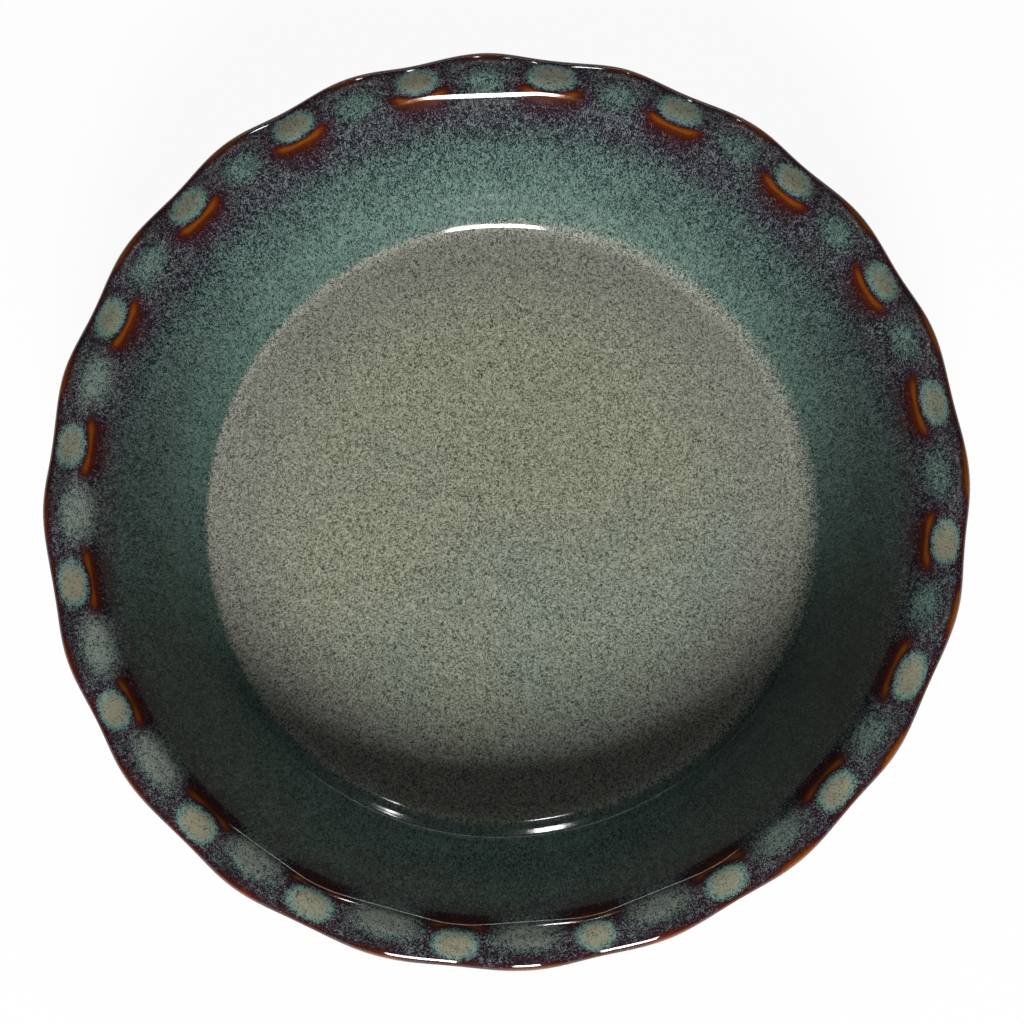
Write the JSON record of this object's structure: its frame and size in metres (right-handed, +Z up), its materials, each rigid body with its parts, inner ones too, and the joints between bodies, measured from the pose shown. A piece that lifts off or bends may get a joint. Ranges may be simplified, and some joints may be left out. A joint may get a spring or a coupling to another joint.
{
  "type": "pie dish",
  "caption": "Round stoneware pie dish with a flat floor, sloping wall, crimped rim, reactive glaze and a bare foot ring to stand on.",
  "frame": {"origin": "centre of the resting plane of the foot ring, at the bottom centre of the bounding box", "axes": "+Z up through the middle of the dish; +X to the right and +Y away from the viewer, as in the picture"},
  "size_m": [0.267, 0.267, 0.0501],
  "materials": {
    "stoneware": "matte unglazed stoneware, fired buff",
    "inside_glaze": "glossy reactive glaze: teal wall, taupe floor, amber where it breaks on the crest",
    "outside_glaze": "glossy reactive glaze, dark teal with amber at the rim",
    "underside_glaze": "glossy reactive glaze, dark teal"
  },
  "bodies": {
    "root": {"stoneware_body": "stoneware", "inside_glaze": "inside_glaze", "outside_glaze": "outside_glaze", "underside_glaze": "underside_glaze"}
  },
  "joints": []
}
